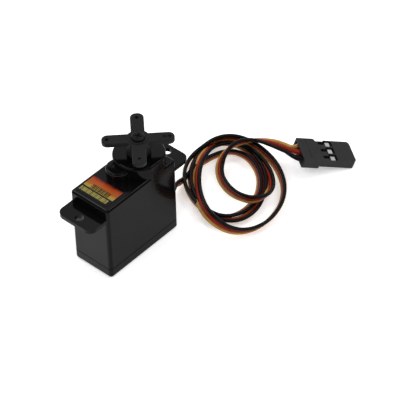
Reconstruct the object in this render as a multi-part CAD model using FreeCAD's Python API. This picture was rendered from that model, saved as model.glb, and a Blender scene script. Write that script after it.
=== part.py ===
"""Sub-micro metal-gear servo with a cross horn, three-wire lead and socket connector.

Frame: X along the case towards the output end, Y across the case, Z up. The origin is the middle of
the case's underside. All sizes are in millimetres. Each named piece is written as one STEP file.
"""
import FreeCAD, Part
import math
import os

os.makedirs("parts", exist_ok=True)
V = FreeCAD.Vector
UP = V(0, 0, 1)

# ---- driving dimensions -------------------------------------------------------------------------
CASE_X = 12.0            # half length of the case
CASE_Y = 6.0             # half width of the case
CORNER_R = 0.9           # upright corners of the case
COVER_TOP = 2.85         # seam between bottom cover and middle case
SEAM_TOP = 18.9          # seam between middle case and gear cover, level with the ears' top
DECK_Z = 21.8            # flat deck that carries the label
TOWER_TOP = 25.2         # round tower over the output gear
DECK_EDGE_R = 0.65       # rounding along the deck's edge
WALL_END = 1.1
WALL_SIDE = 1.0          # side wall of the motor bay
WALL_GEAR = 0.75         # thinner side wall beside the gears
PLATE_Z = (14.6, 15.4)   # gear plate of the middle case
FOOT_R = 0.8             # rounding round the case's underside
SEAM_BREAK = 0.1         # broken edges that meet as a fine groove at the cover's seam

EAR_X = 17.4            # half of the overall length over the ears
EAR_Y = 5.55
EAR_T = 1.0
EAR_R = 2.0
EAR_HOLE_X = 15.3
EAR_HOLE_R = 1.05

OUT_X = 5.63             # output axis; the tower is tangent to the rear end
TOWER_R = CASE_X - OUT_X
BOSS_R = 3.1             # round boss over the top of the intermediate pin
BOSS_TOP = 24.15
BOSS_EDGE_R = 0.5
BOSS_SHIFT = (-0.55, -0.1)      # the boss sits a little off the pin under it

SCREW_X = 10.2
SCREW_Y = 4.3
SCREW_R = 0.65
SCREW_HOLE_R = 0.75
POST_R = 1.15

# Gear train: motor pinion - gear 1 - gear 2 - gear 3 - output gear, on two parallel axes.
CENTRES = 5.6            # output axis to intermediate pin
PIN_Y = 1.2
PIN_X = OUT_X - math.sqrt(CENTRES ** 2 - PIN_Y ** 2)
MOTOR_CENTRES = 4.5      # intermediate pin to motor shaft
MOTOR_X = PIN_X - math.sqrt(MOTOR_CENTRES ** 2 - PIN_Y ** 2)
FINE = 0.2               # gear modules
COARSE = 0.28
MOTOR_TEETH, GEAR1_TEETH = 8, 37
GEAR1_PINION, GEAR2_TEETH = 9, 47
GEAR2_PINION, GEAR3_TEETH = 14, 26
GEAR3_PINION, OUTPUT_TEETH = 9, 31
SMALL_SHIFT = 0.4        # profile shift of the 8 and 9 tooth pinions
MID_SHIFT = 0.15         # profile shift of the 14 tooth pinion
BACKLASH = 0.05
PRESSURE_ANGLE = math.radians(20)
PIN_R = 0.5
STUB_R = 1.0             # lower stub of the output shaft, which gear 2 runs on
RUNNING = 0.03           # radial clearance of the gear bores

BEARING_Z = (22.2, 24.2)
BEARING_OUT = 3.5
BEARING_IN = 2.0
BALLS = 9
BALL_R = 0.42
BALL_ORBIT = 2.75
SPLINE_TEETH = 24
SPLINE_Z = (25.7, 28.3)

HORN_TOP = 29.7
ARM_T = 1.05
HUB_R = 2.95
HUB_BOTTOM = 25.5
ARM_REACH = (9.05, 8.7, 9.3, 8.65) # axis to arm tip, at 45, 135, 225 and 315 degrees
ARM_Y = 1.66             # half width of an arm
ARM_CORNER_R = 1.5
ARM_EDGE_R = 0.2
ARM_HOLE_AT = 7.35
ARM_HOLE_R = 0.5

MOTOR_R = 5.8
MOTOR_FLAT = 4.9         # half thickness across the can's flats
MOTOR_Z = (4.6, 14.5)
CAN_T = 0.5

POT_R = 3.7              # feedback potentiometer under the output shaft
POT_Z = (10.4, 13.6)
POT_SHAFT_R = 0.6

BOARD_Z = (3.0, 3.6)
LEAD_Z = 4.15            # height of the lead where it leaves the case
WIRE_R = 0.525
WIRE_PITCH = 1.07
LEAD_TUBE_R = 0.9        # plain round stand-in with the three wires' section
LEAD_EXIT_X = 14.6

COIL_AT = (32.6, -6.6)
COIL_OUT = 15.5
COIL_IN = 8.2
COIL_H = 4.6

PLUG_TIP = V(58.06, -22.61, 0.2)  # middle of the mating end's lower edge, one corner on the table
PLUG_YAW = -33.4
PLUG_PITCH = 18.0
PLUG_ROLL = 3.1
PLUG_L = 14.5
PLUG_Y = 3.66            # half width at the mating end
PLUG_H = 2.3             # thickness at the mating end
PLUG_MID = 1.12          # height of the contacts' axes above the underside
COLLAR_L = 5.0           # wider, thicker part at the cable end
CONTACT_PITCH = 2.54


# ---- helpers ------------------------------------------------------------------------------------
def cyl(radius, z0, z1, x=0.0, y=0.0):
    return Part.makeCylinder(radius, z1 - z0, V(x, y, z0), UP)


def tube(outer, inner, z0, z1, x=0.0, y=0.0):
    return cyl(outer, z0, z1, x, y).cut(cyl(inner, z0, z1, x, y))


def block(x0, x1, y0, y1, z0, z1):
    return Part.makeBox(x1 - x0, y1 - y0, z1 - z0, V(x0, y0, z0))


def joined(*shapes):
    return shapes[0].multiFuse(list(shapes[1:])).removeSplitter()


def upright_edges(shape):
    return [e for e in shape.Edges if len(e.Vertexes) == 2
            and abs(e.tangentAt(e.FirstParameter).z) > 0.999]


def edges_at(shape, z):
    return [e for e in shape.Edges if abs(e.BoundBox.ZMin - z) < 1e-6 and abs(e.BoundBox.ZMax - z) < 1e-6]


def rounded_block(half_x, half_y, radius, z0, z1):
    box = block(-half_x, half_x, -half_y, half_y, z0, z1)
    return box.makeFillet(radius, upright_edges(box))


def at_posts(make):
    return [make(sx * SCREW_X, sy * SCREW_Y) for sx in (-1, 1) for sy in (-1, 1)]


def involute(rho, base):
    if rho <= base:
        return 0.0
    angle = math.acos(base / rho)
    return math.tan(angle) - angle


def gear(teeth, module, z0, z1, centre, facing, tooth=True, shift=0.0, addendum=0.8):
    """Spur gear with a tooth, or else a gap, on the line at angle facing."""
    pitch = teeth * module / 2
    base = pitch * math.cos(PRESSURE_ANGLE)
    tip = pitch + module * (addendum + shift)
    root = pitch - module * (1.25 - shift)
    thick = math.pi * module / 2 + 2 * shift * module * math.tan(PRESSURE_ANGLE) - BACKLASH / 2
    first = facing + (0 if tooth else math.pi / teeth)

    def half(rho):
        return thick / (2 * pitch) + involute(pitch, base) - involute(rho, base)

    def point(rho, angle):
        return V(centre[0] + rho * math.cos(angle), centre[1] + rho * math.sin(angle), z0)

    low = max(root, base) + 0.02 * module
    middle = (low + tip) / 2
    foot = half(low) * (0.8 if root < base else 1.05)
    edges = []
    step = 2 * math.pi / teeth
    for k in range(teeth):
        a = first + k * step
        side = [point(rho, a - half(rho)) for rho in (low, middle, tip)]
        back = [point(rho, a + half(rho)) for rho in (tip, middle, low)]
        start, end = point(root, a - foot), point(root, a + foot)
        edges.append(Part.LineSegment(start, side[0]).toShape())
        edges.append(Part.Arc(*side).toShape())
        edges.append(Part.Arc(side[2], point(tip, a), back[0]).toShape())
        edges.append(Part.Arc(*back).toShape())
        edges.append(Part.LineSegment(back[2], end).toShape())
        edges.append(Part.Arc(end, point(root, a + step / 2), point(root, a + step - foot)).toShape())
    return Part.Face(Part.Wire(edges)).extrude(V(0, 0, z1 - z0))


def bearing_angle(origin, target):
    return math.atan2(target[1] - origin[1], target[0] - origin[0])


OUT = (OUT_X, 0.0)
PIN = (PIN_X, PIN_Y)
BOSS = (PIN_X + BOSS_SHIFT[0], PIN_Y + BOSS_SHIFT[1])
MOTOR = (MOTOR_X, 0.0)


def save(name, shape):
    shape.exportStep("parts/%s.step" % name)
    print("%-26s solids %3d  volume %9.3f  valid %s"
          % (name, len(shape.Solids), shape.Volume, shape.isValid()))


# ---- case ---------------------------------------------------------------------------------------
def bottom_cover():
    body = rounded_block(CASE_X, CASE_Y, CORNER_R, 0, COVER_TOP)
    body = body.makeFillet(FOOT_R, edges_at(body, 0))
    body = body.makeChamfer(SEAM_BREAK, edges_at(body, COVER_TOP))
    bay = block(-CASE_X + WALL_END, CASE_X - WALL_END, -CASE_Y + WALL_SIDE, CASE_Y - WALL_SIDE,
                0.9, COVER_TOP)
    bay = bay.cut(Part.makeCompound(at_posts(lambda x, y: cyl(1.5, 0, COVER_TOP, x, y))))
    holes = at_posts(lambda x, y: cyl(SCREW_HOLE_R, 0, COVER_TOP, x, y))
    sinks = at_posts(lambda x, y: cyl(1.25, 0, 0.95, x, y))
    return body.cut([bay] + holes + sinks)


def middle_case():
    body = rounded_block(CASE_X, CASE_Y, CORNER_R, COVER_TOP, SEAM_TOP)
    body = body.makeChamfer(SEAM_BREAK, edges_at(body, COVER_TOP))
    ears = rounded_block(EAR_X, EAR_Y, EAR_R, SEAM_TOP - EAR_T, SEAM_TOP)
    body = joined(body, ears)
    posts = at_posts(lambda x, y: cyl(POST_R, COVER_TOP, SEAM_TOP, x, y))
    lower = block(-CASE_X + WALL_END, CASE_X - WALL_END, -CASE_Y + WALL_SIDE, CASE_Y - WALL_SIDE,
                  COVER_TOP, PLATE_Z[0]).cut(Part.makeCompound(posts))
    upper = block(-CASE_X + WALL_END, CASE_X - WALL_END, -CASE_Y + WALL_GEAR, CASE_Y - WALL_GEAR,
                  PLATE_Z[1], SEAM_TOP).cut(Part.makeCompound(posts))
    plate_holes = [cyl(1.55, *PLATE_Z, *MOTOR), cyl(PIN_R, *PLATE_Z, *PIN), cyl(1.6, *PLATE_Z, *OUT)]
    screw_holes = at_posts(lambda x, y: cyl(SCREW_HOLE_R, COVER_TOP, SEAM_TOP, x, y))
    ear_holes = [cyl(EAR_HOLE_R, SEAM_TOP - EAR_T, SEAM_TOP, side * EAR_HOLE_X) for side in (-1, 1)]
    lead_slot = block(CASE_X - WALL_END, CASE_X, -1.95, 1.95, COVER_TOP, LEAD_Z + 1.0)
    return body.cut([lower, upper, lead_slot] + plate_holes + screw_holes + ear_holes)


def gear_cover():
    deck = rounded_block(CASE_X, CASE_Y, CORNER_R, SEAM_TOP, DECK_Z)
    deck = deck.makeFillet(DECK_EDGE_R, edges_at(deck, DECK_Z))
    tower = cyl(TOWER_R, SEAM_TOP, TOWER_TOP, *OUT).common(
        block(-CASE_X, CASE_X, -CASE_Y, CASE_Y, SEAM_TOP, TOWER_TOP))
    tower = tower.makeFillet(0.45, edges_at(tower, TOWER_TOP))
    boss = cyl(BOSS_R, SEAM_TOP, BOSS_TOP, *BOSS)
    boss = boss.makeFillet(BOSS_EDGE_R, edges_at(boss, BOSS_TOP))
    body = joined(deck, tower, boss)
    posts = at_posts(lambda x, y: cyl(POST_R, SEAM_TOP, DECK_Z, x, y))
    cavity = block(-CASE_X + WALL_END, CASE_X - WALL_END, -CASE_Y + WALL_GEAR, CASE_Y - WALL_GEAR,
                   SEAM_TOP, DECK_Z - 1.0).cut(Part.makeCompound(posts))
    dome = cyl(4.4, DECK_Z - 1.1, BEARING_Z[0], *OUT)
    seat = cyl(BEARING_OUT, BEARING_Z[0] - 0.1, BEARING_Z[1], *OUT)
    mouth = cyl(2.35, BEARING_Z[1] - 0.1, TOWER_TOP, *OUT)
    pin_socket = cyl(PIN_R, DECK_Z - 1.1, 22.9, *PIN)
    dish = cyl(1.7, BOSS_TOP - 0.18, BOSS_TOP, *BOSS)
    screw_holes = at_posts(lambda x, y: cyl(SCREW_R, SEAM_TOP, 20.4, x, y))
    body = body.cut([cavity, dome, seat, mouth, pin_socket, dish] + screw_holes)
    return body.fuse(stop_lugs()).removeSplitter()


def sector(inner, outer, z0, z1, middle_deg, width_deg, centre):
    """Part of a flat ring, as wide as width_deg about the direction middle_deg."""
    ring = cyl(outer, z0, z1).cut(cyl(inner, z0, z1))
    half = math.radians(width_deg / 2)
    reach = outer / math.cos(half) * 1.05
    corners = [V(0, 0, z0), V(reach * math.cos(half), -reach * math.sin(half), z0),
               V(reach * math.cos(half), reach * math.sin(half), z0), V(0, 0, z0)]
    wedge = Part.Face(Part.makePolygon(corners)).extrude(V(0, 0, z1 - z0))
    piece = ring.common(wedge)
    piece.rotate(V(0, 0, 0), UP, middle_deg)
    piece.translate(V(centre[0], centre[1], 0))
    return piece


def stop_lugs():
    """Two lugs in the tower that catch the output gear's tab a little past each end of its travel."""
    lugs = [sector(3.2, 4.45, DECK_Z - 1.0, BEARING_Z[0], side * 121, 20, OUT) for side in (-1, 1)]
    return Part.makeCompound(lugs)


def case_screws():
    def screw(x, y):
        head = cyl(1.15, 0.15, 0.95, x, y)
        shank = cyl(SCREW_R, 0.95, 20.3, x, y)
        cross = [block(x - 0.7, x + 0.7, y - 0.14, y + 0.14, 0.15, 0.6),
                 block(x - 0.14, x + 0.14, y - 0.7, y + 0.7, 0.15, 0.6)]
        return joined(head, shank).cut(cross)
    return Part.makeCompound(at_posts(screw))


def deck_label():
    plate = block(-10.75, -4.5, -4.55, 5.1, DECK_Z, DECK_Z + 0.08)
    return plate.makeFillet(0.5, upright_edges(plate))


# ---- gear train ---------------------------------------------------------------------------------
def intermediate_pin():
    return cyl(PIN_R, PLATE_Z[0] + 0.1, 22.8, *PIN)


def motor_pinion():
    body = gear(MOTOR_TEETH, FINE, 15.55, 16.7, MOTOR, bearing_angle(MOTOR, PIN), shift=SMALL_SHIFT)
    return body.cut(cyl(0.5, 15.55, 16.7, *MOTOR))


def gear_1():
    wheel = gear(GEAR1_TEETH, FINE, 15.75, 16.45, PIN, bearing_angle(PIN, MOTOR), False, -SMALL_SHIFT)
    pinion = gear(GEAR1_PINION, FINE, 16.45, 17.75, PIN, bearing_angle(PIN, OUT), shift=SMALL_SHIFT)
    hub = cyl(1.3, 15.45, 15.75, *PIN)
    return joined(wheel, pinion, hub).cut(cyl(PIN_R + RUNNING, 15.4, 17.8, *PIN))


def gear_2():
    wheel = gear(GEAR2_TEETH, FINE, 16.75, 17.45, OUT, bearing_angle(OUT, PIN), False, -SMALL_SHIFT)
    pinion = gear(GEAR2_PINION, COARSE, 17.45, 18.95, OUT, bearing_angle(OUT, PIN), shift=MID_SHIFT)
    hub = cyl(1.5, 15.5, 16.75, *OUT)
    return joined(wheel, pinion, hub).cut(cyl(STUB_R + RUNNING, 15.4, 19.0, *OUT))


def gear_3():
    wheel = gear(GEAR3_TEETH, COARSE, 18.0, 18.7, PIN, bearing_angle(PIN, OUT), False, -MID_SHIFT)
    pinion = gear(GEAR3_PINION, COARSE, 18.7, 20.6, PIN, bearing_angle(PIN, OUT), shift=SMALL_SHIFT)
    hub = cyl(1.2, 17.85, 18.0, *PIN)
    return joined(wheel, pinion, hub).cut(cyl(PIN_R + RUNNING, 17.8, 20.7, *PIN))


def spline_profile():
    points = []
    for k in range(2 * SPLINE_TEETH):
        radius = BEARING_IN if k % 2 == 0 else BEARING_IN - 0.2
        a = math.pi * k / SPLINE_TEETH
        points.append(V(OUT_X + radius * math.cos(a), radius * math.sin(a), SPLINE_Z[0]))
    return Part.Face(Part.makePolygon(points + points[:1])).extrude(V(0, 0, SPLINE_Z[1] - SPLINE_Z[0]))


def output_shaft():
    wheel = gear(OUTPUT_TEETH, COARSE, 19.15, 20.55, OUT, bearing_angle(OUT, PIN), False, -SMALL_SHIFT)
    hub = cyl(2.45, 20.55, BEARING_Z[0] - 0.05, *OUT)
    neck = cyl(BEARING_IN, 20.55, SPLINE_Z[0], *OUT)
    stub = cyl(STUB_R, PLATE_Z[0] + 0.05, 19.15, *OUT)
    tab = sector(2.3, 3.9, 20.9, 21.9, 0, 28, OUT)
    body = joined(wheel, hub, neck, stub, tab, spline_profile())
    pot_socket = cyl(POT_SHAFT_R, PLATE_Z[0], 16.2, *OUT)
    thread = cyl(0.95, 25.1, SPLINE_Z[1], *OUT)
    return body.cut([pot_socket, thread])


def bearing_outer_ring():
    return tube(BEARING_OUT, 2.95, *BEARING_Z, *OUT).cut(ball_groove())


def bearing_inner_ring():
    return tube(2.55, BEARING_IN, *BEARING_Z, *OUT).cut(ball_groove())


def ball_groove():
    middle = sum(BEARING_Z) / 2
    return Part.makeTorus(BALL_ORBIT, BALL_R + 0.02, V(OUT_X, 0, middle), UP)


def bearing_balls():
    middle = sum(BEARING_Z) / 2
    spheres = []
    for k in range(BALLS):
        a = 2 * math.pi * k / BALLS
        at = V(OUT_X + BALL_ORBIT * math.cos(a), BALL_ORBIT * math.sin(a), middle)
        spheres.append(Part.makeSphere(BALL_R, at))
    return Part.makeCompound(spheres)


def lower_bush():
    return tube(1.6, STUB_R + RUNNING, *PLATE_Z, *OUT)


# ---- horn ---------------------------------------------------------------------------------------
def arm(index):
    """One plain horn arm along +X with rounded corners, before it is turned to its place."""
    body = block(0, ARM_REACH[index], -ARM_Y, ARM_Y, HORN_TOP - ARM_T, HORN_TOP)
    tip = [e for e in upright_edges(body) if e.BoundBox.XMin > 1]
    return body.makeFillet(ARM_CORNER_R, tip)


def arm_cut(index):
    """The holes of one arm: the long arm's is blind, and one arm has a second, blind one further in."""
    if index == 2:
        return cyl(0.42, HORN_TOP - 0.3, HORN_TOP, ARM_HOLE_AT)
    hole = cyl(ARM_HOLE_R, HORN_TOP - ARM_T, HORN_TOP, ARM_HOLE_AT)
    if index == 3:
        return hole.fuse(cyl(0.38, HORN_TOP - 0.2, HORN_TOP, ARM_HOLE_AT - 1.1))
    return hole


def placed_arm(shape, index):
    out = shape.copy()
    out.rotate(V(0, 0, 0), UP, 45 + 90 * index)
    out.translate(V(OUT_X, 0, 0))
    return out


def horn():
    arms = [placed_arm(arm(k), k) for k in range(4)]
    hub = cyl(HUB_R, HUB_BOTTOM, HORN_TOP, *OUT)
    body = joined(hub, *arms)
    body = body.makeFillet(ARM_EDGE_R, edges_at(body, HORN_TOP))
    ring = tube(2.35, 1.85, HORN_TOP - 0.1, HORN_TOP + 0.1, *OUT)
    body = joined(body, ring)
    bore = cyl(BEARING_IN, HUB_BOTTOM, SPLINE_Z[1] + 0.2, *OUT)
    holes = [placed_arm(arm_cut(k), k) for k in range(4)]
    return body.cut([bore, cyl(1.1, HUB_BOTTOM, HORN_TOP, *OUT)] + holes)


def horn_screw():
    head = cyl(1.65, HORN_TOP, HORN_TOP + 0.65, *OUT)
    head = head.makeFillet(0.4, edges_at(head, HORN_TOP + 0.65))
    body = joined(head, cyl(0.95, 25.3, HORN_TOP, *OUT))
    slots = [block(-0.85, 0.85, -0.16, 0.16, HORN_TOP + 0.3, HORN_TOP + 0.65),
             block(-0.16, 0.16, -0.85, 0.85, HORN_TOP + 0.3, HORN_TOP + 0.65)]
    cross = joined(*slots)
    cross.rotate(V(0, 0, 0), UP, 24)
    cross.translate(V(OUT_X, 0, 0))
    return body.cut(cross)


# ---- motor --------------------------------------------------------------------------------------
def can_section(radius, flat, z0, z1):
    return cyl(radius, z0, z1, *MOTOR).common(
        block(MOTOR_X - radius, MOTOR_X + radius, -flat, flat, z0, z1))


def motor_can():
    shell = can_section(MOTOR_R, MOTOR_FLAT, *MOTOR_Z)
    inside = can_section(MOTOR_R - CAN_T, MOTOR_FLAT - CAN_T, MOTOR_Z[0], MOTOR_Z[1] - CAN_T)
    boss = cyl(1.5, MOTOR_Z[1], 15.2, *MOTOR)
    return joined(shell.cut(inside), boss).cut(cyl(0.53, 13.5, 15.2, *MOTOR))


def motor_end_cap():
    flange = can_section(MOTOR_R, MOTOR_FLAT, 4.1, MOTOR_Z[0])
    plug = can_section(MOTOR_R - CAN_T, MOTOR_FLAT - CAN_T, MOTOR_Z[0], 5.3)
    bush = cyl(1.2, 3.8, 4.1, *MOTOR)
    holes = [block(MOTOR_X - 0.9, MOTOR_X + 0.9, side * 3.2 - 0.15, side * 3.2 + 0.15, 4.1, 5.3)
             for side in (-1, 1)]
    return joined(flange, plug, bush).cut([cyl(0.53, 3.8, 5.3, *MOTOR)] + holes)


def motor_terminals():
    tabs = [block(MOTOR_X - 0.9, MOTOR_X + 0.9, side * 3.2 - 0.15, side * 3.2 + 0.15, BOARD_Z[0], 5.3)
            for side in (-1, 1)]
    return Part.makeCompound(tabs)


def motor_brushes():
    """Two leaf springs that stand on the terminals and lean on the commutator."""
    leaves = []
    for side in (-1, 1):
        y = sorted((side * 1.24, side * 1.36))
        leaf = block(MOTOR_X - 0.5, MOTOR_X + 0.5, y[0], y[1], 5.5, 6.6)
        span = sorted((side * 1.36, side * 3.35))
        foot = block(MOTOR_X - 0.5, MOTOR_X + 0.5, span[0], span[1], 5.3, 5.5)
        link = sorted((side * 1.24, side * 1.36))
        leaves.append(joined(leaf, foot, block(MOTOR_X - 0.5, MOTOR_X + 0.5, link[0], link[1], 5.3, 5.5)))
    return Part.makeCompound(leaves)


def motor_magnets():
    ring = can_section(MOTOR_R - CAN_T, MOTOR_FLAT - CAN_T, 6.8, 13.4).cut(cyl(4.15, 6.8, 13.4, *MOTOR))
    band = block(MOTOR_X - MOTOR_R, MOTOR_X + MOTOR_R, -2.9, 2.9, 6.8, 13.4)
    return ring.common(band)


def armature_core():
    z0, z1 = 7.6, 12.6
    rim = cyl(3.95, z0, z1).cut(cyl(3.3, z0, z1))
    body = cyl(1.3, z0, z1)
    poles = []
    gaps = []
    for k in range(3):
        pole = block(0, 3.6, -0.55, 0.55, z0, z1)
        pole.rotate(V(0, 0, 0), UP, 120 * k)
        gap = block(0, 4.2, -0.45, 0.45, z0, z1)
        gap.rotate(V(0, 0, 0), UP, 120 * k + 60)
        poles.append(pole)
        gaps.append(gap)
    body = joined(body, rim.cut(gaps), *poles)
    body.translate(V(MOTOR_X, 0, 0))
    return body.cut(cyl(0.5, z0, z1, *MOTOR))


def armature_windings():
    """One wound coil round each pole, between the hub and the pole's shoe."""
    z0, z1 = 7.2, 13.0
    coils = []
    for k in range(3):
        coil = block(1.75, 3.05, -1.2, 1.2, z0, z1)
        coil = coil.makeFillet(0.35, [e for e in coil.Edges if abs(e.tangentAt(e.FirstParameter).x) > 0.999])
        coil = coil.cut(block(1.7, 3.2, -0.55, 0.55, 7.6, 12.6))
        coil.rotate(V(0, 0, 0), UP, 120 * k)
        coil.translate(V(MOTOR_X, 0, 0))
        coils.append(coil)
    return Part.makeCompound(coils)


def commutator():
    return tube(1.2, 0.5, 5.6, 7.0, *MOTOR)


def motor_shaft():
    return cyl(0.5, 3.85, 16.9, *MOTOR)


# ---- feedback potentiometer ---------------------------------------------------------------------

def pot_housing():
    shell = cyl(POT_R, *POT_Z, *OUT).cut(cyl(POT_R - 0.5, POT_Z[0], POT_Z[1] - 0.5, *OUT))
    neck = cyl(1.5, POT_Z[1], PLATE_Z[0], *OUT)
    return joined(shell, neck).cut(cyl(POT_SHAFT_R + RUNNING, POT_Z[1] - 0.5, PLATE_Z[0], *OUT))


def pot_base():
    """Plate with the resistive track, closing the pot's underside."""
    return cyl(POT_R - 0.5, POT_Z[0], POT_Z[0] + 0.5, *OUT)


def pot_track():
    top = POT_Z[0] + 0.5
    ring = tube(2.8, 1.5, top, top + 0.1, *OUT)
    return ring.cut(block(OUT_X - 3, OUT_X, -0.6, 0.6, top, top + 0.1))


def pot_rotor():
    disc = cyl(2.6, 11.6, 12.0, *OUT)
    shaft = cyl(POT_SHAFT_R, 11.3, 16.2, *OUT)
    wiper = block(OUT_X + 1.7, OUT_X + 2.4, -0.35, 0.35, 11.05, 11.6)
    return joined(disc, shaft, wiper)


def pot_wires():
    """Three short wires from the pot's base to the circuit board."""
    wires = [cyl(0.3, BOARD_Z[1], POT_Z[0], OUT_X + 1.2, 1.2 * k) for k in (-1, 0, 1)]
    return Part.makeCompound(wires)


# ---- circuit board ------------------------------------------------------------------------------
def circuit_board():
    board = block(-10.6, 10.6, -4.7, 4.7, *BOARD_Z)
    notches = at_posts(lambda x, y: cyl(1.7, *BOARD_Z, x, y))
    slots = [block(MOTOR_X - 0.95, MOTOR_X + 0.95, side * 3.2 - 0.2, side * 3.2 + 0.2, *BOARD_Z)
             for side in (-1, 1)]
    return board.cut(notches + slots)


def chip(x0, x1, y0, y1, height):
    return block(x0, x1, y0, y1, BOARD_Z[0] - height, BOARD_Z[0])


def controller_chip():
    return chip(-1.0, 3.6, -2.2, 2.2, 1.1)


def driver_chips():
    return Part.makeCompound([chip(-8.2, -5.4, y - 1.4, y + 1.4, 0.9) for y in (-1.7, 1.7)])


def board_resistors():
    spots = [(5.0, -3.4), (5.0, -1.2), (5.0, 1.0), (5.0, 3.2), (-3.2, -3.9), (-3.2, 3.9)]
    return Part.makeCompound([chip(x, x + 1.0, y - 0.3, y + 0.3, 0.4) for x, y in spots])


def board_capacitors():
    spots = [(7.2, -2.2, 1.0), (7.2, 2.2, 1.0), (-3.6, 0.0, 0.7)]
    return Part.makeCompound([chip(x, x + 1.6, y - h / 2 - 0.2, y + h / 2 + 0.2, h) for x, y, h in spots])


# ---- lead and connector -------------------------------------------------------------------------
def lead_grommet():
    body = block(CASE_X - WALL_END, CASE_X, -1.95, 1.95, COVER_TOP, LEAD_Z + 1.0)
    inner = block(CASE_X - WALL_END - 0.5, CASE_X - WALL_END, -2.4, 2.4, BOARD_Z[1] + 0.02, LEAD_Z + 1.35)
    flange = block(CASE_X, CASE_X + 0.6, -2.35, 2.35, LEAD_Z - 1.35, LEAD_Z + 1.35)
    nose = nose_loft(CASE_X + 0.6, 2.05, 0.95, LEAD_EXIT_X, 1.8, 0.72)
    body = joined(body, inner, flange, nose)
    holes = [Part.makeCylinder(WIRE_R, 6, V(CASE_X - 2, WIRE_PITCH * k, LEAD_Z), V(1, 0, 0))
             for k in (-1, 0, 1)]
    return body.cut(holes)


def nose_loft(x0, half_y0, half_z0, x1, half_y1, half_z1):
    rings = []
    for x, hy, hz in ((x0, half_y0, half_z0), (x1, half_y1, half_z1)):
        corners = [V(x, sy * hy, LEAD_Z + sz * hz) for sy, sz in ((-1, -1), (1, -1), (1, 1), (-1, 1))]
        rings.append(Part.makePolygon(corners + corners[:1]))
    return Part.makeLoft(rings, True, True)


def lead_tails():
    """The lead's three wires inside the case, from their pads on the board out through the grommet."""
    tails = []
    for k in (-1, 0, 1):
        y = WIRE_PITCH * k
        start = 9.2
        tails.append(Part.makeCylinder(WIRE_R, LEAD_EXIT_X - start, V(start, y, LEAD_Z), V(1, 0, 0)))
    return Part.makeCompound(tails)


def rounded_path(points):
    """Straight runs joined by tangent arcs, each as large as its two runs allow."""
    edges = []
    here = points[0]
    for k in range(1, len(points) - 1):
        a, p, b = points[k - 1], points[k], points[k + 1]
        d0 = (p - a).normalize()
        d1 = (b - p).normalize()
        turn = d0.getAngle(d1)
        run = min((p - a).Length, (b - p).Length)
        setback = 0.45 * run
        radius = setback / math.tan(turn / 2)
        start = p - d0 * setback
        end = p + d1 * setback
        inward = (d1 - d0).normalize()
        middle = p + inward * (radius / math.cos(turn / 2) - radius)
        edges.append(Part.LineSegment(here, start).toShape())
        edges.append(Part.Arc(start, middle, end).toShape())
        print("   bend radius %.2f at point %d" % (radius, k))
        here = end
    edges.append(Part.LineSegment(here, points[-1]).toShape())
    return Part.Wire(edges)


def lead_tube(points):
    path = rounded_path(points)
    direction = (points[1] - points[0]).normalize()
    section = Part.Wire([Part.makeCircle(LEAD_TUBE_R, points[0], direction)])
    solid = path.makePipeShell([section], True, False)
    print("   tube length %.2f, volume %.2f, section x length %.2f"
          % (path.Length, solid.Volume, math.pi * LEAD_TUBE_R ** 2 * path.Length))
    return solid


NEAR_ROUTE = [V(LEAD_EXIT_X, 0, LEAD_Z), V(17.3, 0, LEAD_Z), V(20.5, 0.75, 3.35), V(23.6, 2.0, 2.0)]
FAR_ROUTE = [V(42.6, 0.2, 4.0), V(44.2, -2.5, 5.0), V(45.0, -5.6, 6.2), V(45.2, -8.9, 6.8),
             V(45.5, -12.1, 6.7)]


def coil_ring():
    return tube(COIL_OUT, COIL_IN, 0, COIL_H, *COIL_AT)


def lead_coil():
    return coil_ring()


def lead_near():
    return lead_tube(NEAR_ROUTE).cut(coil_ring())


def lead_far():
    return lead_tube(FAR_ROUTE + [plug_point(1.2, 0, PLUG_MID)]).cut(coil_ring())


def plug_placement():
    turn = FreeCAD.Rotation(UP, PLUG_YAW).multiply(FreeCAD.Rotation(V(0, 1, 0), PLUG_PITCH))
    turn = turn.multiply(FreeCAD.Rotation(V(1, 0, 0), PLUG_ROLL))
    tip = V(PLUG_L, 0, 0)
    return FreeCAD.Placement(PLUG_TIP - turn.multVec(tip), turn)


def plug_point(u, v, w):
    return plug_placement().multVec(V(u, v, w))


def placed(shape):
    out = shape.copy()
    out.Placement = plug_placement().multiply(out.Placement)
    return out


CHANNEL_Y = 0.95
CHANNEL_Z = (0.36, 1.9)
WINDOW = (7.2, 9.45)     # where each contact shows through the top
LATCH_SLOT = (5.7, 7.2)


def upright_between(shape, x0, x1):
    return [e for e in upright_edges(shape) if x0 < e.BoundBox.XMin < x1]


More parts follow.
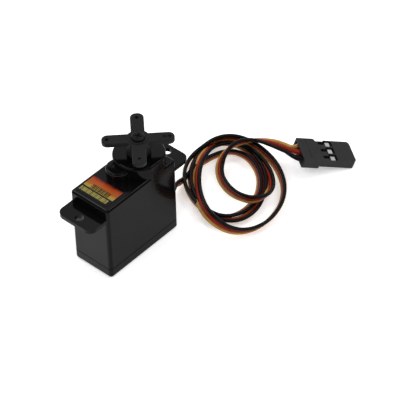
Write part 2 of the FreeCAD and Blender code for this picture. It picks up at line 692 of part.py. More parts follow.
def connector_housing():
    main = block(0, PLUG_L, -PLUG_Y, PLUG_Y, 0, PLUG_H)
    main = main.makeFillet(0.85, upright_between(main, PLUG_L - 0.1, PLUG_L + 0.1))
    collar = block(0, COLLAR_L, -PLUG_Y - 0.36, PLUG_Y + 0.36, -0.3, PLUG_H + 0.1)
    collar = collar.makeChamfer(0.45, upright_between(collar, COLLAR_L - 0.1, COLLAR_L + 0.1))
    collar = collar.makeFillet(0.25, upright_between(collar, -0.1, 0.1))
    body = joined(main, collar)
    cuts = [block(0, 1.2, -3.35, 3.35, 0.15, 2.1),
            block(COLLAR_L, 7.4, PLUG_Y - 0.4, PLUG_Y, CHANNEL_Z[1] + 0.05, PLUG_H),
            block(2.25, 2.45, -3.2, 3.5, PLUG_H + 0.04, PLUG_H + 0.1),
            block(1.1, 1.22, -3.2, 3.5, PLUG_H + 0.07, PLUG_H + 0.1)]
    for k in (-1, 0, 1):
        y = CONTACT_PITCH * k
        cuts.append(Part.makeCylinder(0.56, 1.2, V(1.2, y, PLUG_MID), V(1, 0, 0)))
        cuts.append(block(2.4, 13.6, y - CHANNEL_Y, y + CHANNEL_Y, *CHANNEL_Z))
        cuts.append(block(13.6, PLUG_L, y - 0.45, y + 0.45, PLUG_MID - 0.45, PLUG_MID + 0.45))
        cuts.append(block(*WINDOW, y - 1.08, y + 1.08, CHANNEL_Z[1], PLUG_H))
        cuts.append(block(*LATCH_SLOT, y - 0.5, y + 0.5, CHANNEL_Z[1], PLUG_H))
    return placed(body.cut(cuts))


def connector_contacts():
    """Three crimped terminals: barrel on the wire, neck, raised latch box and open square socket."""
    contacts = []
    floor = CHANNEL_Z[0]
    for k in (-1, 0, 1):
        y = CONTACT_PITCH * k
        socket = block(9.7, 13.4, y - 0.75, y + 0.75, floor, 1.86)
        latch = block(7.75, 8.9, y - 0.9, y + 0.62, floor, 2.0)
        bore = [block(9.7, 13.4, y - 0.5, y + 0.5, 0.62, 1.62),
                block(7.75, 8.9, y - 0.66, y + 0.38, 0.62, 1.75)]
        neck = block(4.7, 9.7, y - 0.4, y + 0.4, floor, 0.58)
        barrel = Part.makeCylinder(0.72, 2.6, V(2.6, y, PLUG_MID), V(1, 0, 0))
        hole = Part.makeCylinder(0.54, 2.6, V(2.6, y, PLUG_MID), V(1, 0, 0))
        contacts.append(joined(socket.cut(bore[0]), latch.cut(bore[1]), neck, barrel.cut(hole)))
    return placed(Part.makeCompound(contacts))


PIECES = [bottom_cover, middle_case, gear_cover, case_screws, deck_label, intermediate_pin, motor_pinion,
          gear_1, gear_2, gear_3, output_shaft, bearing_outer_ring, bearing_inner_ring, bearing_balls,
          lower_bush, horn, horn_screw, motor_can, motor_end_cap, motor_terminals, motor_brushes,
          motor_magnets, armature_core, armature_windings, commutator, motor_shaft, pot_housing, pot_base,
          pot_track, pot_rotor, pot_wires, circuit_board, controller_chip, driver_chips, board_resistors,
          board_capacitors, lead_grommet, lead_tails, lead_near, lead_coil, lead_far, connector_housing,
          connector_contacts]

for make in PIECES:
    save(make.__name__, make())
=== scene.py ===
"""Sub-micro servo with a cross horn and a loosely wound three-wire lead, on a pale studio floor.

Everything is in metres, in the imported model's own frame: X along the case towards the output end,
Y across it, Z up, with the origin in the middle of the case's underside.
"""
import math

import bmesh
import bpy
from mathutils import Matrix, Vector


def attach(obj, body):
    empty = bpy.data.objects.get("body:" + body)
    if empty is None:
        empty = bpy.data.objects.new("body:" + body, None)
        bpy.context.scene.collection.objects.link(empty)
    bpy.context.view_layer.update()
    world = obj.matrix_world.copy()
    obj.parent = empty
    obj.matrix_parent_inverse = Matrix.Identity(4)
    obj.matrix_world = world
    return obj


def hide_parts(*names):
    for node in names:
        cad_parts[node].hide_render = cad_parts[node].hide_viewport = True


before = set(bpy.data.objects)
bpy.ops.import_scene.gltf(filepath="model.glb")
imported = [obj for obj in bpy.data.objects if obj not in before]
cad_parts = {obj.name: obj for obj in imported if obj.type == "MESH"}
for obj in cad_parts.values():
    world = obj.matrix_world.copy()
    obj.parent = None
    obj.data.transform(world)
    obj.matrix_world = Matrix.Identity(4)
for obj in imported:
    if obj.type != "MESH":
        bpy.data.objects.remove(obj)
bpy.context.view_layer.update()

MM = 0.001
UP = Vector((0, 0, 1))


# ---- materials ----------------------------------------------------------------------------------
def new_material(name):
    mat = bpy.data.materials.new(name)
    mat.use_nodes = True
    return mat, mat.node_tree, mat.node_tree.nodes["Principled BSDF"]


def link(tree, a, b):
    tree.links.new(a, b)


def arith(tree, operation, *values):
    """Result of a maths node on sockets and plain numbers."""
    node = tree.nodes.new("ShaderNodeMath")
    node.operation = operation
    for socket, value in zip(node.inputs, values):
        if isinstance(value, float):
            socket.default_value = value
        else:
            link(tree, value, socket)
    return node.outputs["Value"]


def noise(tree, scale_mm, detail=4.0, rough=0.55, stretch=(1, 1, 1), seed=0.0):
    """Noise whose features are about scale_mm across, in object space."""
    coord = tree.nodes.new("ShaderNodeTexCoord")
    mapping = tree.nodes.new("ShaderNodeMapping")
    mapping.inputs["Scale"].default_value = [s / (scale_mm * MM) for s in stretch]
    mapping.inputs["Location"].default_value = (seed, seed * 1.7, seed * 0.6)
    link(tree, coord.outputs["Object"], mapping.inputs["Vector"])
    tex = tree.nodes.new("ShaderNodeTexNoise")
    tex.inputs["Scale"].default_value = 1.0
    tex.inputs["Detail"].default_value = detail
    tex.inputs["Roughness"].default_value = rough
    link(tree, mapping.outputs["Vector"], tex.inputs["Vector"])
    return tex.outputs["Fac"]


def ramp(tree, fac, stops):
    node = tree.nodes.new("ShaderNodeValToRGB")
    elements = node.color_ramp.elements
    while len(elements) < len(stops):
        elements.new(0.5)
    for element, (at, colour) in zip(elements, stops):
        element.position = at
        element.color = (*colour, 1)
    link(tree, fac, node.inputs["Fac"])
    return node.outputs["Color"]


def grey_ramp(tree, fac, low, high):
    return ramp(tree, fac, [(0.3, (low,) * 3), (0.7, (high,) * 3)])


def bump(tree, shader, *layers):
    """Chain of bumps: each layer is a height socket and its depth in millimetres."""
    normal = None
    for height, depth in layers:
        node = tree.nodes.new("ShaderNodeBump")
        node.inputs["Strength"].default_value = 1.0
        node.inputs["Distance"].default_value = depth * MM
        link(tree, height, node.inputs["Height"])
        if normal:
            link(tree, normal, node.inputs["Normal"])
        normal = node.outputs["Normal"]
    link(tree, normal, shader.inputs["Normal"])


LABEL_TOP = 21.88       # height of the deck label's face, in millimetres

# Specular level of moulded faces, and how it changes with the way that they face.
PLAIN_GLOSS = 0.5
LEVEL_GLOSS = 0.2       # more on level faces
SIDE_DULL = 0.25        # less on the long walls
EDGE_DULL = 1.7         # how strongly it drops on slanting ones
UPRIGHT_POWER = 4.0     # how quickly a face that leans stops counting as upright

BOSS_AT = (-0.39, 1.1)  # middle of the small round boss on the deck, in millimetres
BOSS_R = 3.2            # reach round that middle, a little more than the boss
BOSS_TOP = 24.3         # and up to just over its top
BOSS_GLOSS = 0.42       # what the mirror-bright mould of its side adds to the plastic's index

FLOW_DEPTH = 0.006      # depth of the moulding's ripple, in millimetres
TONE_DROP = 0.72        # dark patches of metal and vinyl, as a share of their colour


def moulded(name, dark, light, rough, ior, grain=0.004, seed=0.0, calm_sides=False):
    """Moulded plastic: faint flow marks in the colour, handling haze in the gloss, slight ripple.

    With calm_sides the gloss follows the mould's polish: best on level faces, less on the long walls, least
    on slanting ones, such as the broken edges. The side of the round boss is polished like a mirror.
    """
    mat, tree, shader = new_material(name)
    clouds = noise(tree, 7.0, 3.0, seed=seed)
    specks = noise(tree, 0.22, 6.0, 0.6, seed=seed + 3)
    link(tree, ramp(tree, clouds, [(0.3, dark), (0.7, light)]), shader.inputs["Base Color"])
    link(tree, grey_ramp(tree, noise(tree, 2.6, 5.0, 0.62, seed=seed + 5), rough[0], rough[1]),
         shader.inputs["Roughness"])
    shader.inputs["IOR"].default_value = ior
    if calm_sides:
        split = tree.nodes.new("ShaderNodeSeparateXYZ")
        link(tree, tree.nodes.new("ShaderNodeNewGeometry").outputs["Normal"], split.inputs["Vector"])
        side = arith(tree, "MULTIPLY", split.outputs["Y"], split.outputs["Y"])
        level = arith(tree, "MULTIPLY", split.outputs["Z"], split.outputs["Z"])
        fade = arith(tree, "MULTIPLY_ADD", level, EDGE_DULL, LEVEL_GLOSS - EDGE_DULL)
        edge = arith(tree, "MULTIPLY", fade, level)
        gloss = arith(tree, "ADD", arith(tree, "MULTIPLY_ADD", side, -SIDE_DULL, PLAIN_GLOSS), edge)
        link(tree, gloss, shader.inputs["Specular IOR Level"])
        upright = arith(tree, "POWER", arith(tree, "SUBTRACT", 1.0, level), UPRIGHT_POWER)
        mirror = arith(tree, "MULTIPLY", near_boss(tree), upright)
        link(tree, arith(tree, "MULTIPLY_ADD", mirror, BOSS_GLOSS, ior), shader.inputs["IOR"])
    bump(tree, shader, (noise(tree, 3.2, 1.0, seed=seed + 8), FLOW_DEPTH), (specks, grain))
    return mat


def near_boss(tree):
    """1 on the round boss above the deck label, and 0 elsewhere."""
    coord = tree.nodes.new("ShaderNodeTexCoord")
    split = tree.nodes.new("ShaderNodeSeparateXYZ")
    link(tree, coord.outputs["Object"], split.inputs["Vector"])
    squares = []
    for axis, middle in zip("XY", BOSS_AT):
        off = arith(tree, "MULTIPLY_ADD", split.outputs[axis], 1 / MM, -middle)
        squares.append(arith(tree, "MULTIPLY", off, off))
    inside = arith(tree, "LESS_THAN", arith(tree, "ADD", *squares), BOSS_R ** 2)
    above = arith(tree, "GREATER_THAN", split.outputs["Z"], LABEL_TOP * MM)
    below = arith(tree, "LESS_THAN", split.outputs["Z"], BOSS_TOP * MM)
    return arith(tree, "MULTIPLY", inside, arith(tree, "MULTIPLY", above, below))


BAND_X = (-8.4, -4.62)        # the label's colour band, in millimetres
BAND_Y = (-4.32, 5.02)
BAND_EDGE = 0.04              # how far its edges blur to either side
BAND_WANDER = 1.3             # how far its colours wander along X


def between(tree, value, low, high):
    """1 where value lies between low and high, with edges as soft as the colour band's."""
    sides = []
    for edge, sign in ((low, 1), (high, -1)):
        node = tree.nodes.new("ShaderNodeMapRange")
        node.interpolation_type = "SMOOTHSTEP"
        node.inputs["From Min"].default_value = edge - sign * BAND_EDGE
        node.inputs["From Max"].default_value = edge + sign * BAND_EDGE
        link(tree, value, node.inputs["Value"])
        sides.append(node.outputs["Result"])
    return arith(tree, "MULTIPLY", *sides)


def blend_colour(tree, fac, a, b):
    node = tree.nodes.new("ShaderNodeMix")
    node.data_type = "RGBA"
    for socket, value in (("Factor", fac), ("A", a), ("B", b)):
        link(tree, value, node.inputs[socket])
    return node.outputs["Result"]


def label_film():
    """Black film with one printed band that runs from yellow through orange to red."""
    mat, tree, shader = new_material("label_film")
    coord = tree.nodes.new("ShaderNodeTexCoord")
    split = tree.nodes.new("ShaderNodeSeparateXYZ")
    link(tree, coord.outputs["Object"], split.inputs["Vector"])
    x = arith(tree, "MULTIPLY", split.outputs["X"], 1 / MM)
    y = arith(tree, "MULTIPLY", split.outputs["Y"], 1 / MM)
    drift = arith(tree, "SUBTRACT", noise(tree, 2.0, 3.0, seed=15.0), 0.5)
    wander = arith(tree, "MULTIPLY", drift, BAND_WANDER)
    along = tree.nodes.new("ShaderNodeMapRange")
    along.inputs["From Min"].default_value = BAND_X[0]
    along.inputs["From Max"].default_value = BAND_X[1]
    link(tree, arith(tree, "ADD", x, wander), along.inputs["Value"])
    band = ramp(tree, along.outputs["Result"],
                [(0.0, (0.33, 0.235, 0.040)), (0.24, (0.34, 0.210, 0.034)), (0.38, (0.36, 0.092, 0.013)),
                 (0.76, (0.35, 0.058, 0.008)), (0.92, (0.23, 0.016, 0.006)), (1.0, (0.075, 0.009, 0.005))])
    mask = arith(tree, "MULTIPLY", between(tree, x, *BAND_X), between(tree, y, *BAND_Y))
    film = ramp(tree, noise(tree, 5.0, 3.0, seed=16.0), [(0.3, (0.0024,) * 3), (0.7, (0.0038,) * 3)])
    link(tree, blend_colour(tree, mask, film, band), shader.inputs["Base Color"])
    link(tree, grey_ramp(tree, noise(tree, 2.6, 5.0, 0.62, seed=17.0), 0.14, 0.2), shader.inputs["Roughness"])
    shader.inputs["IOR"].default_value = 1.23
    shader.inputs["Specular IOR Level"].default_value = PLAIN_GLOSS + LEVEL_GLOSS
    bump(tree, shader, (noise(tree, 3.0, 2.0, seed=18.0), 0.003))
    return mat


def metal(name, colour, rough, seed=0.0):
    """Metal with fine level scratches and slightly darker patches."""
    mat, tree, shader = new_material(name)
    shader.inputs["Metallic"].default_value = 1.0
    lines = noise(tree, 0.5, 5.0, 0.6, stretch=(1, 1, 9), seed=seed)
    dull = [c * TONE_DROP for c in colour]
    link(tree, ramp(tree, noise(tree, 1.6, 4.0, seed=seed + 2), [(0.3, dull), (0.65, colour)]),
         shader.inputs["Base Color"])
    link(tree, grey_ramp(tree, lines, rough * 0.75, rough * 1.35), shader.inputs["Roughness"])
    bump(tree, shader, (lines, 0.004))
    return mat


def wire_plastic(name, colour, seed):
    """Soft vinyl insulation with a waxy sheen and slight handling marks."""
    mat, tree, shader = new_material(name)
    dark = [c * TONE_DROP for c in colour]
    link(tree, ramp(tree, noise(tree, 2.4, 4.0, seed=seed), [(0.3, dark), (0.7, colour)]),
         shader.inputs["Base Color"])
    link(tree, grey_ramp(tree, noise(tree, 1.1, 4.0, seed=seed + 2), 0.22, 0.36), shader.inputs["Roughness"])
    shader.inputs["IOR"].default_value = 1.18
    bump(tree, shader, (noise(tree, 0.8, 3.0, seed=seed + 4), 0.012))
    return mat


MATERIALS = {
    "case": moulded("case_black", (0.0022, 0.0022, 0.0026), (0.0034, 0.0033, 0.0036), (0.08, 0.13), 1.225,
                    calm_sides=True),
    "horn": moulded("horn_black", (0.0075, 0.0075, 0.0082), (0.0100, 0.0098, 0.0104), (0.38, 0.5), 1.22,
                    grain=0.010, seed=4.0),
    "socket": moulded("socket_black", (0.0150, 0.0150, 0.0158), (0.0195, 0.0195, 0.0203), (0.38, 0.5), 1.25,
                      grain=0.012, seed=9.0),
    "grommet": moulded("grommet_black", (0.005, 0.005, 0.005), (0.008, 0.008, 0.008), (0.5, 0.65), 1.25,
                       seed=12.0),
    "film": label_film(),
    "black_steel": metal("black_screw", (0.017, 0.017, 0.018), 0.42, seed=1.0),
    "tin": metal("contact_tin", (0.64, 0.63, 0.60), 0.45, seed=2.0),
    "steel": metal("bright_steel", (0.62, 0.62, 0.64), 0.25, seed=3.0),
    "gear": metal("gear_brass", (0.78, 0.58, 0.28), 0.3, seed=5.0),
    "copper": metal("copper", (0.80, 0.42, 0.25), 0.3, seed=6.0),
    "can": metal("nickel_can", (0.66, 0.65, 0.62), 0.3, seed=7.0),
    "magnet": moulded("magnet_ferrite", (0.03, 0.03, 0.032), (0.05, 0.05, 0.052), (0.5, 0.7), 1.5, seed=21.0),
    "cream": moulded("motor_cap", (0.55, 0.52, 0.44), (0.66, 0.63, 0.55), (0.4, 0.5), 1.45, seed=22.0),
    "board": moulded("board_green", (0.012, 0.10, 0.035), (0.02, 0.14, 0.05), (0.25, 0.35), 1.5, seed=23.0),
    "ceramic": moulded("capacitor_tan", (0.36, 0.25, 0.15), (0.45, 0.33, 0.2), (0.3, 0.4), 1.5, seed=24.0),
    "wire_black": wire_plastic("wire_black", (0.0055, 0.0048, 0.0048), 31.0),
    "wire_red": wire_plastic("wire_red", (0.27, 0.018, 0.009), 34.0),
    "wire_yellow": wire_plastic("wire_yellow", (0.48, 0.28, 0.068), 37.0),
    "print_yellow": moulded("print_yellow", (0.25, 0.21, 0.052), (0.31, 0.26, 0.066), (0.25, 0.35), 1.25,
                            seed=41.0),
    "print_brown": moulded("print_brown", (0.010, 0.008, 0.004), (0.018, 0.014, 0.006), (0.25, 0.35), 1.25,
                           seed=44.0),
}

NODE_FINISH = {
    "case": ["bottom_cover", "middle_case", "gear_cover"],
    "horn": ["horn"],
    "film": ["deck_label"],
    "black_steel": ["horn_screw", "case_screws"],
    "steel": ["intermediate_pin", "motor_shaft", "bearing_outer_ring", "bearing_inner_ring", "bearing_balls",
              "armature_core"],
    "gear": ["motor_pinion", "lower_bush", "gear_1", "gear_2", "gear_3", "output_shaft"],
    "copper": ["commutator", "motor_terminals", "motor_brushes", "armature_windings"],
    "can": ["motor_can"],
    "magnet": ["motor_magnets", "pot_housing", "pot_base", "pot_track", "pot_rotor", "controller_chip",
               "driver_chips", "board_resistors"],
    "cream": ["motor_end_cap"],
    "board": ["circuit_board"],
    "ceramic": ["board_capacitors"],
    "grommet": ["lead_grommet"],
    "wire_red": ["pot_wires", "lead_tails"],
    "socket": ["connector_housing"],
    "tin": ["connector_contacts"],
}


def finish_nodes():
    for key, nodes in NODE_FINISH.items():
        for node in nodes:
            mesh = bpy.data.objects[node].data
            mesh.materials.clear()
            mesh.materials.append(MATERIALS[key])


# ---- lead: one ribbon of three bonded wires -------------------------------------------------------
WIRE_R = 0.475
BONDED_PITCH = 0.95
SOCKET_PITCH = 2.54
SOCKET_WIRE_R = 0.78     # each wire with its crimp at the connector
FAN = 4.4                # length over which the wires spread to the connector's pitch
TUBE_SIDES = 14

# Route of the ribbon's middle wire: x, y, z in millimetres, and the ribbon's roll in degrees. At roll 0 it
# lies flat with the black wire on the left of its way; at 90 it stands on edge with the black wire on top.
ROUTE = [
    # straight out of the grommet
    (14.6, 0.0, 4.15, 180), (17.6, 1.3, 3.90, 150),
    # down beside the case, on edge
    (20.5, 2.5, 2.90, 116), (23.5, 2.8, 1.75, 112), (26.7, 3.6, 1.46, 108), (29.9, 4.0, 1.45, 108),
    (32.7, 3.8, 1.44, 109), (35.6, 3.3, 1.41, 112),
    # first turn
    (37.9, 2.4, 1.50, 118), (39.8, 1.0, 1.50, 123), (40.7, -1.2, 1.50, 114), (40.7, -3.9, 1.50, 100),
    (39.8, -6.8, 1.46, 86), (37.9, -9.8, 1.45, 79), (35.6, -12.1, 1.40, 66), (32.9, -14.0, 1.40, 55),
    (29.7, -15.3, 1.40, 43), (26.5, -15.8, 1.40, 38), (23.7, -15.3, 1.40, 40), (21.6, -14.1, 1.40, 44),
    (20.2, -12.1, 1.40, 49), (19.7, -9.4, 1.40, 61), (20.2, -6.0, 1.44, 74), (21.6, -2.7, 1.46, 88),
    (23.7, 0.3, 1.60, 97), (26.0, 2.6, 2.00, 103), (29.2, 4.7, 1.90, 113), (33.0, 6.4, 1.50, 123),
    (36.2, 6.9, 1.40, 131),
    # second turn
    (38.6, 6.2, 1.40, 136), (40.7, 4.8, 1.40, 131), (42.2, 2.8, 1.40, 123), (42.8, 0.1, 1.50, 113),
    (42.5, -3.0, 1.50, 100), (41.4, -6.3, 1.46, 87), (39.6, -9.4, 1.43, 73), (37.1, -12.3, 1.40, 62),
    (34.2, -14.5, 1.40, 51), (31.0, -16.2, 1.40, 45), (27.6, -17.3, 1.40, 36), (24.6, -17.4, 1.40, 34),
    (22.0, -16.6, 1.40, 31), (20.2, -14.8, 1.40, 33), (19.3, -12.7, 1.40, 42), (18.7, -10.1, 1.40, 54),
    (19.3, -6.6, 1.40, 68), (20.4, -3.0, 1.50, 78), (21.9, 0.2, 1.90, 80), (23.6, 2.4, 2.70, 88),
    (26.8, 5.0, 2.20, 100), (30.2, 6.8, 1.70, 111), (33.1, 7.4, 1.70, 118), (35.7, 7.1, 2.10, 121),
    # third turn
    (38.1, 6.5, 2.80, 122), (40.2, 5.3, 3.30, 120), (42.1, 3.6, 3.40, 115), (43.6, 1.5, 3.10, 110),
    (44.6, -0.9, 2.50, 102), (45.0, -3.7, 1.90, 94), (44.5, -6.9, 1.60, 87), (43.3, -10.4, 1.60, 81),
    (41.5, -13.7, 1.60, 78), (39.2, -16.7, 1.60, 76), (36.5, -19.1, 1.60, 70), (33.3, -21.0, 1.60, 65),
    (29.9, -22.1, 1.60, 58), (26.5, -22.6, 1.60, 54), (23.3, -22.3, 1.60, 57), (20.6, -21.2, 1.60, 61),
    (18.7, -19.5, 1.70, 72), (17.1, -17.6, 2.40, 86), (16.3, -15.4, 3.30, 107), (16.4, -12.3, 3.90, 124),
    (18.1, -8.6, 3.60, 135), (21.1, -4.6, 2.60, 137), (24.2, -1.2, 1.90, 139), (27.0, 1.3, 2.00, 141),
    (29.4, 2.8, 2.90, 145), (32.4, 4.0, 3.30, 148), (36.2, 5.2, 2.60, 147),
    # across once more, inside the last turn
    (39.6, 5.3, 1.80, 160), (42.0, 4.0, 1.60, 157), (43.1, 1.7, 1.70, 145), (43.3, -1.3, 1.90, 125),
    (42.5, -4.8, 2.20, 99), (41.5, -7.9, 1.90, 74), (40.0, -11.0, 1.70, 56), (37.7, -13.9, 1.80, 45),
    (34.7, -16.4, 2.60, 42), (31.1, -18.1, 3.90, 47),
    # small loop, over everything
    (28.7, -17.7, 4.30, 67), (27.2, -16.0, 4.10, 83), (26.9, -13.5, 3.60, 83), (27.3, -10.3, 2.90, 98),
    (28.5, -7.0, 2.30, 110), (30.2, -3.9, 2.00, 119), (32.3, -1.6, 2.10, 134), (34.1, -0.5, 2.90, 143),
    (35.8, -0.3, 4.20, 137), (38.0, -0.3, 5.00, 122),
    # up to the connector
    (40.2, -0.7, 5.00, 116), (42.2, -1.6, 4.90, 117), (44.0, -3.1, 4.90, 139), (45.0, -5.2, 5.10, 156),
    (45.6, -7.9, 5.50, 180), (45.5, -11.3, 6.20, 194),
    # into the connector
    (46.0, -14.7, 6.05, 183), (47.8, -15.9, 5.37, 183),
]


def read_nurbs(points):
    """Points along one open NURBS spline through the control points, closely spaced."""
    curve = bpy.data.curves.new("route", "CURVE")
    curve.dimensions = "3D"
    curve.resolution_u = 12
    spline = curve.splines.new("NURBS")
    spline.points.add(len(points) - 1)
    for point, at in zip(spline.points, points):
        point.co = (*at, 1)
    spline.order_u = 3
    spline.use_endpoint_u = True
    holder = bpy.data.objects.new("route", curve)
    mesh = bpy.data.meshes.new_from_object(holder)
    line = [v.co.copy() for v in mesh.vertices]
    bpy.data.objects.remove(holder)
    bpy.data.curves.remove(curve)
    bpy.data.meshes.remove(mesh)
    return line


def ribbon_frames():
    """Middle line of the ribbon, with the unit vectors across it towards black, and through it."""
    line = read_nurbs([Vector(p[:3]) * MM for p in ROUTE])
    rolls = [p.x for p in read_nurbs([Vector((p[3], 0, 0)) for p in ROUTE])]
    frames = []
    for k, at in enumerate(line):
        along = (line[min(k + 1, len(line) - 1)] - line[max(k - 1, 0)]).normalized()
        left = UP.cross(along).normalized()
        above = along.cross(left)
        roll = math.radians(rolls[k])
        across = left * math.cos(roll) + above * math.sin(roll)
        frames.append((at, along, across, along.cross(across)))
    return frames


def tube_rings(mesh, rings, material):
    """Closed tube through rings of vertices, in one material."""
    sides = len(rings[0])
    made = [[mesh.verts.new(p) for p in ring] for ring in rings]
    for a, b in zip(made, made[1:]):
        for j in range(sides):
            face = mesh.faces.new((a[j], a[(j + 1) % sides], b[(j + 1) % sides], b[j]))
            face.material_index = material
            face.smooth = True
    for ring, turn in ((made[0], -1), (made[-1], 1)):
        face = mesh.faces.new(ring[::turn])
        face.material_index = material


def smooth_step(t):
    """0 up to t = 0, 1 from t = 1, and a smooth rise between them."""
    t = min(max(t, 0.0), 1.0)
    return t * t * (3 - 2 * t)


def build_ribbon():
    """The three wires as one mesh, the ribbon's middle line and its length."""
    frames = ribbon_frames()
    reach = [0.0]
    for (a, *_), (b, *_) in zip(frames, frames[1:]):
        reach.append(reach[-1] + (b - a).length)
    length = reach[-1]
    mesh = bmesh.new()
    for index, row in enumerate((1, 0, -1)):
        rings = []
        for (at, along, across, through), gone in zip(frames, reach):
            spread = smooth_step(1 - (length - gone) / (FAN * MM))
            pitch = (BONDED_PITCH + (SOCKET_PITCH - BONDED_PITCH) * spread) * MM
            middle = at + across * row * pitch
            radius = (WIRE_R + (SOCKET_WIRE_R - WIRE_R) * spread) * MM
            rings.append([middle + (across * math.cos(a) + through * math.sin(a)) * radius
                          for a in (2 * math.pi * j / TUBE_SIDES for j in range(TUBE_SIDES))])
        tube_rings(mesh, rings, index)
    wires = [MATERIALS[key] for key in ("wire_black", "wire_red", "wire_yellow")]
    obj = mesh_object("lead_ribbon", mesh, wires)
    return obj, [f[0] for f in frames], length


def mesh_object(name, mesh, materials):
    """Object in the scene made from a bmesh, which it frees."""
    bmesh.ops.recalc_face_normals(mesh, faces=mesh.faces)
    data = bpy.data.meshes.new(name)
    mesh.to_mesh(data)
    mesh.free()
    obj = bpy.data.objects.new(name, data)
    bpy.context.scene.collection.objects.link(obj)
    for mat in materials:
        data.materials.append(mat)
    return obj


def lead():
    ribbon, path, length = build_ribbon()
    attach(ribbon, "case")
    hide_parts("lead_near", "lead_coil", "lead_far")
    print("lead length in mm:", round(length / MM, 1))


# ---- label print ---------------------------------------------------------------------------------
PRINT_T = 0.012

# Plain bars that stand for print: name, finish, lower and upper x, first y, and for each bar its width and
# the gap after it, in millimetres.
PRINT_ROWS = [
    ("label_marks_light", "print_yellow", -10.15, -8.85, -3.65,
     [(0.42, 0.12), (0.2, 0.14), (0.34, 0.1), (0.5, 0.14), (0.22, 0.22), (0.36, 0.1)] * 3),
    ("label_marks_dark", "print_brown", -8.3, -6.8, -2.55,
     [(0.34, 0.18), (0.24, 0.14), (0.4, 0.2), (0.2, 0.2)] * 3),
]


def print_row(name, finish, x0, x1, y, bars):
    """One row of thin bars on the label, laid out along Y."""
    mesh = bmesh.new()
    for width, gap in bars:
        low = (x0, y, LABEL_TOP)
        high = (x1, y + width, LABEL_TOP + PRINT_T)
        middle = Matrix.Translation([(p + q) / 2 * MM for p, q in zip(low, high)])
        size = Matrix.Diagonal([(q - p) * MM for p, q in zip(low, high)] + [1])
        bmesh.ops.create_cube(mesh, size=1.0, matrix=middle @ size)
        y += width + gap
    obj = mesh_object(name, mesh, [MATERIALS[finish]])
    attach(obj, "case")


# ---- studio ---------------------------------------------------------------------------------------
CAMERA_TARGET = Vector((0, 0, 10)) * MM
CAMERA_AZIMUTH = -47.52       # degrees
CAMERA_ELEVATION = 43.0
CAMERA_ROLL = -1.59
CAMERA_DISTANCE = 533.3       # millimetres
CAMERA_ASIDE = (17.9, 2.71)   # how far it is moved to its right and up, to frame the lead
LENS = 200.0                  # focal length in millimetres


def camera():
    turn, climb, roll = (math.radians(v) for v in (CAMERA_AZIMUTH, CAMERA_ELEVATION, CAMERA_ROLL))
    back = Vector((math.sin(turn) * math.cos(climb), -math.cos(turn) * math.cos(climb), math.sin(climb)))
    level = Vector((math.cos(turn), math.sin(turn), 0))
    steep = back.cross(level)
    right = level * math.cos(roll) + steep * math.sin(roll)
    up = steep * math.cos(roll) - level * math.sin(roll)
    data = bpy.data.cameras.new("camera")
    data.lens = LENS
    data.sensor_width = 36.0
    data.clip_start = 0.01
    data.clip_end = 20.0
    obj = bpy.data.objects.new("camera", data)
    obj.matrix_world = Matrix((right, up, back)).transposed().to_4x4()
    obj.location = (CAMERA_TARGET + back * CAMERA_DISTANCE * MM
                    + right * CAMERA_ASIDE[0] * MM + up * CAMERA_ASIDE[1] * MM)
    bpy.context.scene.collection.objects.link(obj)
    bpy.context.scene.camera = obj


TABLE_GLOW = 0.43          # light that comes up through the pale table
TABLE_HALF = 3.0           # metres
TABLE_DROP = 0.05          # gap under the object, in millimetres


def floor():
    mesh = bmesh.new()
    bmesh.ops.create_grid(mesh, x_segments=2, y_segments=2, size=TABLE_HALF)
    mat, tree, shader = new_material("floor")
    link(tree, grey_ramp(tree, noise(tree, 300.0), 0.93, 0.95), shader.inputs["Base Color"])
    shader.inputs["Roughness"].default_value = 0.9
    shader.inputs["Specular IOR Level"].default_value = 0.0
    shader.inputs["Emission Color"].default_value = (1, 1, 1, 1)
    shader.inputs["Emission Strength"].default_value = TABLE_GLOW
    obj = mesh_object("floor", mesh, [mat])
    obj.location.z = -TABLE_DROP * MM


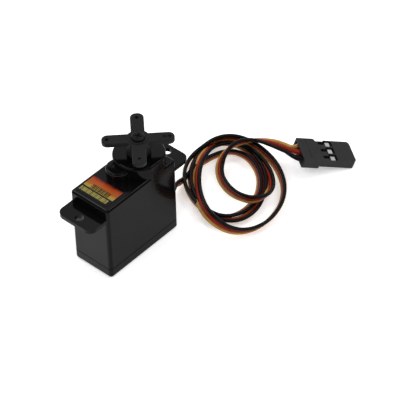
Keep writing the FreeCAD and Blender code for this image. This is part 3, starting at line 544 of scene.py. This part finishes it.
SKY_LEVEL = 0.70           # brightness of the room round the object
SKY_OVERHEAD = 0.38        # and of its darker part, above and to the front left
DARK_SIDE = (-0.54, -0.49, 0.68)
DARK_FROM, DARK_TO = 0.1, 0.6      # cosine to the dark side where it begins and is complete


def sky():
    """A pale room that is darker overhead and to the front left."""
    world = bpy.data.worlds.new("studio")
    bpy.context.scene.world = world
    world.use_nodes = True
    tree = world.node_tree
    shade = tree.nodes["Background"]
    towards = tree.nodes.new("ShaderNodeVectorMath")
    towards.operation = "DOT_PRODUCT"
    link(tree, tree.nodes.new("ShaderNodeTexCoord").outputs["Generated"], towards.inputs[0])
    towards.inputs[1].default_value = DARK_SIDE
    fall = tree.nodes.new("ShaderNodeMapRange")
    fall.interpolation_type = "SMOOTHSTEP"
    for name, value in (("From Min", DARK_FROM), ("From Max", DARK_TO),
                        ("To Min", SKY_LEVEL), ("To Max", SKY_OVERHEAD)):
        fall.inputs[name].default_value = value
    link(tree, towards.outputs["Value"], fall.inputs["Value"])
    link(tree, fall.outputs["Result"], shade.inputs["Strength"])
    shade.inputs["Color"].default_value = (1, 1, 1, 1)


LAMPS = (("left", 170), ("front", 255), ("right", 330), ("back", 80))      # bearings in degrees
LAMP_RING = 0.7            # metres
LAMP_HEIGHT = 0.98
LAMP_SIZE = 0.4
LAMP_POWER = 2.6           # watts


def area_light(name, at):
    data = bpy.data.lights.new(name, "AREA")
    data.shape = "SQUARE"
    data.size = LAMP_SIZE
    data.energy = LAMP_POWER
    obj = bpy.data.objects.new(name, data)
    obj.location = at
    obj.rotation_euler = (CAMERA_TARGET - Vector(at)).to_track_quat("-Z", "Y").to_euler()
    bpy.context.scene.collection.objects.link(obj)


def studio():
    sky()
    for name, degrees in LAMPS:
        bearing = math.radians(degrees)
        area_light(name, (LAMP_RING * math.cos(bearing), LAMP_RING * math.sin(bearing), LAMP_HEIGHT))
    view = bpy.context.scene.view_settings
    view.view_transform = "Standard"
    view.look = "None"
    view.exposure = 0.0


finish_nodes()
lead()
for row in PRINT_ROWS:
    print_row(*row)
camera()
floor()
studio()
